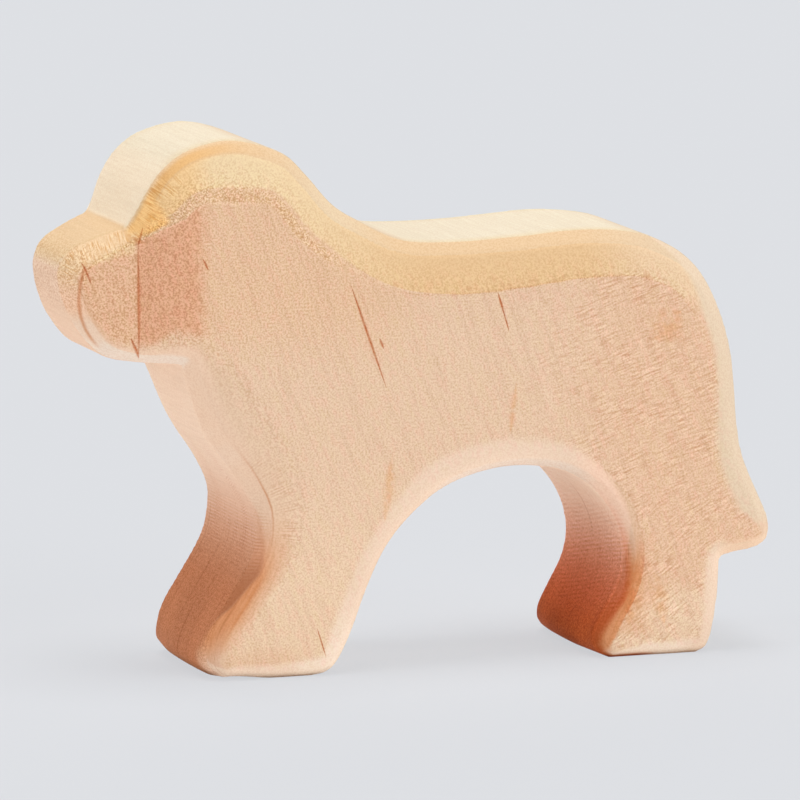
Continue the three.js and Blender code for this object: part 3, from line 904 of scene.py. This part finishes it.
def shaded_leg_front(wood, colour, leg, edge, soft, strip, face, face_shade_colour):
    """The front of one leg in painted shade, dark and reddish, as far in as the edge, and a streaked strip of
    orange painted half-shade beyond it.
    """
    beyond = wood.math("SUBTRACT", wood.across, edge)
    strip = wood.both(wood.zone(leg), strip, wood.smooth(beyond, *STRIP_START))
    colour = wood.mix(strip, colour, STRIP_HALF_SHADE_COLOUR)
    streaks = wood.noise(wood.by_edge(along=14, across=1), scale=2.6, detail=1)
    colour = wood.speckle(colour, streaks, wood.both(strip, STREAK_DEPTH), RIDGE_TINT, PALE_TINT)
    shaded_face = wood.both(wood.zone(leg), wood.zone(face), wood.smooth(beyond, soft, FACE_END))
    return wood.mix(shaded_face, colour, face_shade_colour), shaded_face


def front_leg_shade(wood, colour):
    """Painted shade, dark and reddish, low on the front leg's front, deeper along its edge and at the toe,
    and orange painted half-shade over the ridge.
    """
    toe = wood.either(wood.ramp(wood.z, *FRONT_TOE_EDGE), wood.ramp(wood.y, *FAR_TOE_EDGE))
    edge = wood.total(toe, *[wood.ramp(wood.z, *ramp) for ramp in FRONT_LEG_EDGE])
    soft = wood.ramp(wood.z, *FRONT_EDGE_SOFTNESS)
    end = wood.joined("MINIMUM", [wood.ramp(wood.z, *ramp) for ramp in FRONT_STRIP_END])
    spread = wood.smooth(wood.across, end, wood.ramp(wood.z, *FRONT_STRIP_FULL))
    spread = wood.either(spread, wood.ramp(wood.inset, *FRONT_STRIP_TRACE))
    strip = wood.both(spread, wood.zone(FRONT_STRIP))
    colour, shaded_face = shaded_leg_front(wood, colour, FRONT_LEG, edge, soft, strip, FRONT_FACE, LEG_FRONT_SHADE_COLOUR)
    brink = wood.either(wood.zone(FRONT_BRINK), wood.ramp(wood.inset, *FRONT_BRINK_TRACE))
    shade = wood.both(wood.either(wood.zone(OFF_FACE), brink), wood.zone(FRONT_SHADE))
    colour = wood.tint(colour, wood.both(shaded_face, shade), SHADE_TINT)
    return wood.tint(colour, wood.both(shaded_face, wood.zone(FRONT_TOE)), TOE_SHADE_TINT)


def rear_leg_shade(wood, colour):
    """Painted shade, redder and darker, low on the rear leg's front, gritty, deeper along its edge and
    darkest at the toe, and orange painted half-shade over the ridge.
    """
    edge = wood.total(*[wood.ramp(wood.z, *ramp) for ramp in REAR_LEG_EDGE])
    spread = wood.smooth(wood.across, REAR_STRIP_END, wood.ramp(wood.z, *REAR_STRIP_FULL))
    spread = wood.either(spread, wood.ramp(wood.inset, *REAR_STRIP_TRACE))
    slanted = wood.math("MULTIPLY_ADD", wood.across, REAR_STRIP_SLANT, wood.z)
    strip = wood.both(spread, wood.zone(REAR_STRIP), wood.smooth(slanted, *REAR_STRIP_FOOT))
    soft = REAR_EDGE_SOFTNESS
    colour, shaded_face = shaded_leg_front(wood, colour, REAR_LEG, edge, soft, strip, REAR_FACE, REAR_LEG_FRONT_SHADE_COLOUR)
    brink = wood.both(wood.zone(REAR_BRINK), wood.ramp(wood.z, *REAR_BRINK_DEPTH))
    shade = wood.both(wood.either(wood.zone(OFF_FACE), brink), wood.zone(REAR_SHADE))
    colour = wood.tint(colour, wood.both(shaded_face, shade), SHADE_TINT)
    colour = wood.tint(colour, wood.both(shaded_face, wood.zone(REAR_TOE)), TOE_SHADE_TINT)
    grit = wood.noise(wood.place, scale=2.8, detail=1)
    return wood.speckle(colour, grit, wood.both(shaded_face, GRIT_DEPTH), TOOTH_TINT, TOOTH_PALE_TINT)


def pored(wood, colour, pores):
    """Fine pores all over, deep on the flank and deepest on the head, and patches with a blush of pink."""
    nose = wood.both(wood.outside(wood.on_flank), wood.zone(NOSE_END))
    legs = wood.both(wood.sawn, wood.zone(LOW_LEGS))
    depth = wood.total(
        PORE_DEPTH,
        wood.both(wood.on_flank, wood.off_rim, FLANK_PORES),
        wood.both(wood.on_flank, wood.zone(NECK_SIDE), NECK_PORES),
        wood.both(wood.on_flank, wood.zone(CHEEK_SIDE), CHEEK_PORES),
        wood.both(wood.either(nose, legs), BARE_PORES),
    )
    colour = wood.speckle(colour, pores, depth, PORE_TINT, PALE_TINT)
    blush = wood.noise(wood.stretched(-GRAIN_LEAN, (1, 1, 2)), scale=1.1, detail=4, roughness=0.65)
    return wood.speckle(colour, blush, wood.on_flank, YELLOW_TINT, PINK_TINT)


def grained(wood, colour):
    """Faint lines along the grain, on the flank and across the shoulder of the back."""
    lines = wood.noise(wood.stretched(-GRAIN_LEAN, (1, 1, 14)), scale=1.7, detail=3, roughness=0.6)
    return wood.speckle(colour, lines, wood.both(wood.on_flank, wood.off_rim), GRAIN_TINT, YELLOW_TINT)


def feathered(wood, colour):
    """Coarse torn fibres where the shoulder feathers out, with a painted highlight as a pale line inside them
    on the head.
    """
    torn = wood.noise(wood.place, scale=4.4, detail=0)
    head = wood.zone(HEAD_FEATHER)
    colour = wood.speckle(wood.tint(colour, head, YELLOW_TINT), torn, head, OLIVE_TINT, PALE_TINT)
    colour = wood.speckle(colour, torn, wood.zone(BACK_FEATHER), SCRATCH_TINT, PINK_TINT)
    return wood.tint(colour, wood.zone(HEAD_HIGHLIGHT_LINE), PALE_TINT)


def scratched(wood, colour):
    """Sanding scratches in patches on the hip and the legs, and short ones across the chest's edge."""
    patches = wood.patches(wood.noise(wood.place, scale=0.2), low=0.3, high=1.0)
    sanded = wood.both(wood.zone(SANDED), wood.off_rim, patches)
    for zone, rise, stretch in SCRATCHES:
        scratches = wood.noise(wood.stretched(-rise, stretch), scale=3.0)
        colour = wood.speckle(colour, scratches, wood.both(sanded, wood.zone(zone)), SCRATCH_TINT, PALE_TINT)
    chest = wood.zone(CHEST_EDGE)
    colour = wood.tint(colour, wood.both(chest, CHEST_DEPTH), SCRATCH_TINT)
    comb = wood.lines(wood.around, COMB_SPACING)
    broken = wood.patches(wood.noise(wood.by_edge(along=1, across=6), scale=0.9), low=0.1, high=0.5)
    return wood.speckle(colour, comb, wood.both(chest, broken), SCRATCH_TINT, PALE_TINT)


def torn_edge(wood, colour):
    """Fine strokes that the saw tore across the edge of the brow, the muzzle and the nose."""
    strokes = wood.noise(wood.by_edge(along=1, across=9), scale=4.5, detail=0)
    patches = wood.patches(wood.noise(wood.place, scale=0.5), low=0.2, high=0.85)
    return wood.speckle(colour, strokes, wood.both(wood.zone(TORN_EDGE), patches), TORN_TINT, PALE_TINT)


def sawn_lines(wood, colour, saw):
    """Fine lines that the saw left across the sawn faces, even and deep on the fronts of the legs."""
    colour = wood.speckle(colour, saw, wood.both(wood.sawn, SAW_DEPTH), SAW_TINT, PALE_TINT)
    ahead = wood.zone(LEG_FRONTS)
    worn = wood.patches(wood.noise(wood.place, scale=0.5, detail=3), low=0.1, high=0.6)
    tilted = wood.math("MULTIPLY_ADD", wood.y, REAR_SAW_TILT, wood.z)
    front_teeth = wood.lines(wood.z, SAW_SPACING)
    rear_teeth = wood.lines(tilted, REAR_SAW_SPACING)
    for zone, teeth in ((FRONT_TEETH, front_teeth), (REAR_TEETH, rear_teeth)):
        depth = wood.both(ahead, worn, wood.zone(zone))
        colour = wood.speckle(colour, teeth, depth, TOOTH_TINT, TOOTH_PALE_TINT)
    fibres = wood.noise(wood.stretched(0.0, (40, 1, 40)), scale=1.6, detail=3, roughness=0.7)
    dark = wood.smooth(fibres, *FIBRE_STEP)
    return wood.tint(colour, wood.both(ahead, wood.zone(LEG_FIBRES), dark), FIBRE_TINT)


def marked(wood, colour):
    """Flecks and stains of the near flank, the creased cheek and the curved line round the muzzle."""
    off_saw = wood.both(wood.near_side, wood.zone(OFF_SAW))
    broken = wood.both(off_saw, wood.smooth(wood.noise(wood.place, scale=0.9, detail=4), *STAIN_STEP))
    for stain in STAINS:
        colour = wood.tint(colour, wood.both(wood.stroke(*stain), broken), STAIN_TINT)
    faded = wood.both(off_saw, wood.patches(wood.noise(wood.place, scale=1.5), low=0.75, high=1.0))
    for fleck in FLECKS:
        colour = wood.tint(colour, wood.both(wood.stroke(*fleck), faded), FLECK_TINT)
    crease = wood.either(wood.stroke(*CREASE), wood.stroke(*BROW_CREASE))
    colour = wood.tint(colour, wood.both(crease, wood.zone(CREASED)), CREASE_TINT)
    lip = wood.both(wood.ring(*LIP), wood.near_side, wood.zone(LIP_ARC), LIP_DEPTH)
    return wood.tint(colour, lip, CREASE_TINT)


def lined(wood, colour):
    """The thin dark line of the ridge beside the chest, orange lower down, and painted shadow along the
    soles' edge.
    """
    front = wood.zone(FRONT_RIDGE)
    colour = wood.tint(colour, wood.both(front, wood.zone(CHEST_RIDGE)), CREASE_TINT)
    colour = wood.tint(colour, wood.both(front, wood.zone(SHIN_RIDGE)), RIDGE_TINT)
    return wood.tint(colour, wood.zone(SOLE_EDGE), SOLE_SHADE_TINT)


def wood_material():
    """Pale hardwood: the colour of each zone with painted light and shade in some of them, painted shade on
    the legs' fronts, and what the saw, the sandpaper and the tree left on it.
    """
    wood = WoodShader("pale_wood")
    pores = wood.noise(wood.place, scale=3.6, detail=1)
    saw = wood.noise(wood.stretched(0.0, (1, 30, 1)), scale=2.4)

    colour = zone_colour(wood)
    colour = front_leg_shade(wood, colour)
    colour = rear_leg_shade(wood, colour)
    colour = grained(wood, colour)
    colour = pored(wood, colour, pores)
    colour = feathered(wood, colour)
    colour = scratched(wood, colour)
    colour = torn_edge(wood, colour)
    colour = sawn_lines(wood, colour, saw)
    colour = marked(wood, colour)
    colour = lined(wood, colour)

    height = wood.mix(wood.sawn, pores, saw)
    relief = wood.node("ShaderNodeBump")
    relief.inputs["Strength"].default_value = RELIEF_STRENGTH
    relief.inputs["Distance"].default_value = RELIEF_HEIGHT
    wood.feed(relief.inputs["Height"], height)

    surface = wood.node("ShaderNodeBsdfPrincipled")
    wood.feed(surface.inputs["Base Color"], colour)
    wood.feed(surface.inputs["Normal"], relief.outputs[0])
    wood.feed(surface.inputs["Roughness"], wood.math("MULTIPLY_ADD", pores, PORE_ROUGHNESS, ROUGHNESS))
    surface.inputs["Specular IOR Level"].default_value = GLOSS
    return wood.finish(surface.outputs[0])


def floor_material():
    """A white floor that the camera sees in the backdrop's colour, with the object's shadow on it."""
    shader = Shader("studio_floor")
    seen = shader.node("ShaderNodeLightPath").outputs
    by_camera = shader.either(seen["Is Camera Ray"], seen["Is Glossy Ray"], seen["Is Transmission Ray"])
    white = shader.node("ShaderNodeBsdfDiffuse")
    white.inputs["Color"].default_value = FLOOR_COLOUR
    shown = shader.node("ShaderNodeBsdfDiffuse")
    shown.inputs["Color"].default_value = [level / FLOOR_LIGHT for level in BACKDROP_COLOUR[:3]] + [1]
    glow = shader.node("ShaderNodeEmission")
    glow.inputs["Color"].default_value = BACKDROP_COLOUR
    faint = shader.node("ShaderNodeMixShader")
    faint.inputs[0].default_value = SHADOW_SHARE
    shader.feed(faint.inputs[1], glow.outputs[0])
    shader.feed(faint.inputs[2], shown.outputs[0])
    choice = shader.node("ShaderNodeMixShader")
    shader.feed(choice.inputs[0], by_camera)
    shader.feed(choice.inputs[1], white.outputs[0])
    shader.feed(choice.inputs[2], faint.outputs[0])
    return shader.finish(choice.outputs[0])


def build_floor():
    mesh = bpy.data.meshes.new("studio_floor")
    half = FLOOR_SIZE / 2
    corners = [(-half, -half, 0), (half, -half, 0), (half, half, 0), (-half, half, 0)]
    mesh.from_pydata(corners, [], [(0, 1, 2, 3)])
    mesh.materials.append(floor_material())
    floor = bpy.data.objects.new("studio_floor", mesh)
    bpy.context.scene.collection.objects.link(floor)


def build_world():
    """A dark world that the camera sees in the backdrop's colour."""
    world = bpy.data.worlds.new("studio")
    world.use_nodes = True
    bpy.context.scene.world = world
    tree = world.node_tree
    tree.nodes.clear()
    seen = tree.nodes.new("ShaderNodeLightPath")
    shown = tree.nodes.new("ShaderNodeBackground")
    shown.inputs["Color"].default_value = BACKDROP_COLOUR
    output = tree.nodes.new("ShaderNodeOutputWorld")
    tree.links.new(seen.outputs["Is Camera Ray"], shown.inputs["Strength"])
    tree.links.new(shown.outputs[0], output.inputs["Surface"])


def add_lamp(name, azimuth, elevation, spread, strength):
    """A soft lamp far away: azimuth 0 is on the camera's side of the board, and 90 behind the dog's tail."""
    lamp = bpy.data.lights.new(name, "SUN")
    lamp.energy = strength
    lamp.angle = math.radians(spread)
    around, up = math.radians(azimuth), math.radians(elevation)
    towards = Vector((math.sin(around) * math.cos(up), -math.cos(around) * math.cos(up), math.sin(up)))
    holder = bpy.data.objects.new(name, lamp)
    holder.rotation_euler = towards.to_track_quat("Z", "Y").to_euler()
    bpy.context.scene.collection.objects.link(holder)


def build_camera():
    lens = bpy.data.cameras.new("camera")
    lens.lens = CAMERA_LENS
    lens.sensor_width = CAMERA_SENSOR
    lens.clip_start = CAMERA_DISTANCE / 10
    lens.clip_end = FLOOR_SIZE
    camera = bpy.data.objects.new("camera", lens)
    across = math.cos(CAMERA_ELEVATION)
    back = Vector((
        math.sin(CAMERA_AZIMUTH) * across,
        -math.cos(CAMERA_AZIMUTH) * across,
        math.sin(CAMERA_ELEVATION),
    ))
    camera.location = CAMERA_AIM + back * CAMERA_DISTANCE
    camera.rotation_euler = back.to_track_quat("Z", "Y").to_euler()
    bpy.context.scene.collection.objects.link(camera)
    bpy.context.scene.camera = camera


build_camera()
build_dog()
build_floor()
build_world()
for settings in LAMPS:
    add_lamp(*settings)
bpy.context.scene.view_settings.view_transform = "Standard"
